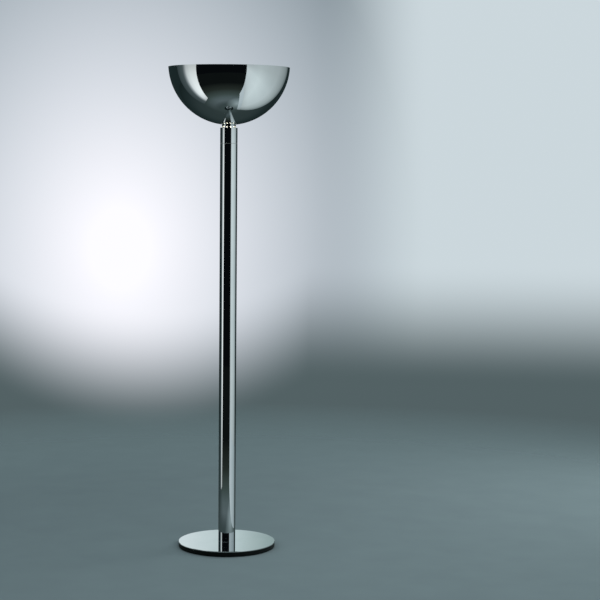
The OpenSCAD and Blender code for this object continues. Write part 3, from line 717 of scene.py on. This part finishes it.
# The soft glow on the backdrop, behind the lamp and a little to its left.
glow_x, glow_z, glow_tall = -0.0645, -0.0576, 0.75
glow_reach, glow_fade = 0.174, 0.156
aside = maths("SUBTRACT", to_right, glow_x)
above = maths("MULTIPLY", maths("SUBTRACT", up, glow_z), glow_tall)
away = maths("SQRT", maths("ADD", maths("MULTIPLY", aside, aside), maths("MULTIPLY", above, above)))
glow_level = maths("DIVIDE", maths("SUBTRACT", glow_reach, away), glow_fade)
near_glow = maths("MINIMUM", maths("MAXIMUM", glow_level, 0), eased(to_back, 0, 0.5))
glow_tone = mixed(sky, near_glow, (0.84, 0.93, 1.02), (0.985, 0.98, 1.04))

# Round it the backdrop is grey, and it is pale again past the lamp on both sides.
far_left_or_front = maths("MAXIMUM", eased(to_right, -0.16, -0.35), eased(to_back, 0.6, 0))
beside = maths("MAXIMUM", eased(to_right, 0.05, 0.12), far_left_or_front)
side_tone = mixed(sky, beside, (0.245, 0.295, 0.33), (0.60, 0.68, 0.72))
wall_tone = mixed(sky, near_glow, side_tone, glow_tone)

# Low down the backdrop is painted dark, the far floor and a painted shade on the lower wall, and
# the edge of the shade is lower below the glow than beside it.
lowest_x, droop_rate, droop_most = -0.0466, 3.3, 0.03
off_centre = maths("SUBTRACT", to_right, lowest_x)
droop = maths("MULTIPLY", maths("MULTIPLY", off_centre, off_centre), droop_rate)
droop = maths("MINIMUM", droop, droop_most)
droop = maths("MAXIMUM", droop, maths("MULTIPLY", eased(to_back, 0.5, 0), droop_most))
# Below that edge the backdrop is the far floor and painted shade on the lower wall.
shade_and_floor_tone = (0.087, 0.121, 0.128)
seen_tone = mixed(sky, eased(maths("SUBTRACT", up, droop), -0.166, -0.094), shade_and_floor_tone, wall_tone)

# In reflections the room is dark, with a lit band overhead that fades to the right.
dark_sides = mixed(sky, eased(to_back, -0.35, 0.25), (0.003, 0.004, 0.005), (0.016, 0.028, 0.029))
band_half = 0.029
across = sky.nodes.new("ShaderNodeMapRange")
across.inputs["From Min"].default_value = -band_half
across.inputs["From Max"].default_value = band_half
sky.links.new(to_right, across.inputs["Value"])
overhead = ramp_of(sky, across.outputs["Result"], [
    (0, (0.82, 0.93, 0.96)), (0.40, (0.655, 0.78, 0.79)), (0.60, (0.61, 0.745, 0.755)),
    (0.77, (0.48, 0.60, 0.603)), (0.94, (0.37, 0.485, 0.485)), (1, (0.35, 0.46, 0.46)),
])
sideways = maths("ABSOLUTE", to_right)
straight_behind = maths("MULTIPLY", eased(sideways, 0.45, 0.25), eased(to_back, 0, 0.3))
past_front = maths("MAXIMUM", straight_behind, eased(to_right, -0.93, -0.98))
past_front = maths("MAXIMUM", past_front, eased(up, 0.25, 0.29))
lit_band = maths("MULTIPLY", eased(up, 0.10, 0.17), eased(up, 0.93, 0.82))
reflected_tone = mixed(sky, maths("MULTIPLY", past_front, lit_band), dark_sides, overhead)


def background(colour):
    """A background of one colour, or of a worked-out one."""
    made = sky.nodes.new("ShaderNodeBackground")
    if isinstance(colour, tuple):
        made.inputs["Color"].default_value = (*colour, 1)
    else:
        sky.links.new(colour, made.inputs["Color"])
    return made.outputs["Background"]


def chosen(ray, otherwise, then):
    """One background for a kind of ray, and another one for the rest."""
    choice = sky.nodes.new("ShaderNodeMixShader")
    sky.links.new(rays.outputs[ray], choice.inputs["Fac"])
    sky.links.new(otherwise, choice.inputs[1])
    sky.links.new(then, choice.inputs[2])
    return choice.outputs["Shader"]


rays = sky.nodes.new("ShaderNodeLightPath")
room = chosen("Is Diffuse Ray", background(reflected_tone), background((0.22, 0.245, 0.26)))
whole = chosen("Is Camera Ray", room, background(seen_tone))
sky.links.new(whole, sky.nodes.new("ShaderNodeOutputWorld").inputs["Surface"])


def soft_light(name, place, aim, size, power):
    """A square soft light that the camera and the polish don't see."""
    light = bpy.data.lights.new(name, "AREA")
    light.shape = "SQUARE"
    light.size = size
    light.energy = power
    holder = bpy.data.objects.new(name, light)
    holder.location = place
    holder.rotation_mode = "QUATERNION"
    holder.rotation_quaternion = (Vector(aim) - Vector(place)).to_track_quat("-Z", "Y")
    holder.visible_camera = False
    holder.visible_glossy = False
    bpy.context.scene.collection.objects.link(holder)


soft_light("top_light", (0.5, -0.6, 3.2), (0, 0, 0.3), 1.6, 13)
soft_light("front_light", (1.8, -3.0, 2.4), (0, 0, 0.8), 1.2, 8)
soft_light("side_light", (2.4, 1.1, 1.3), (0, 0, 0.2), 1.2, 14)

# The lamp itself lights the inside of the bowl.
lamp_centre = (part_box("lamp_filament")[0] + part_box("lamp_filament")[1]) / 2
lamp_light = bpy.data.lights.new("lamp_light", "POINT")
lamp_light.energy = 0.1
lamp_light.color = (1.0, 0.88, 0.70)
lamp_light.shadow_soft_size = 0.004
lamp_holder = bpy.data.objects.new("lamp_light", lamp_light)
lamp_holder.location = lamp_centre + Vector((0, 0, 0.03))
lamp_holder.visible_camera = False
bpy.context.scene.collection.objects.link(lamp_holder)

bpy.context.scene.view_settings.view_transform = "Standard"
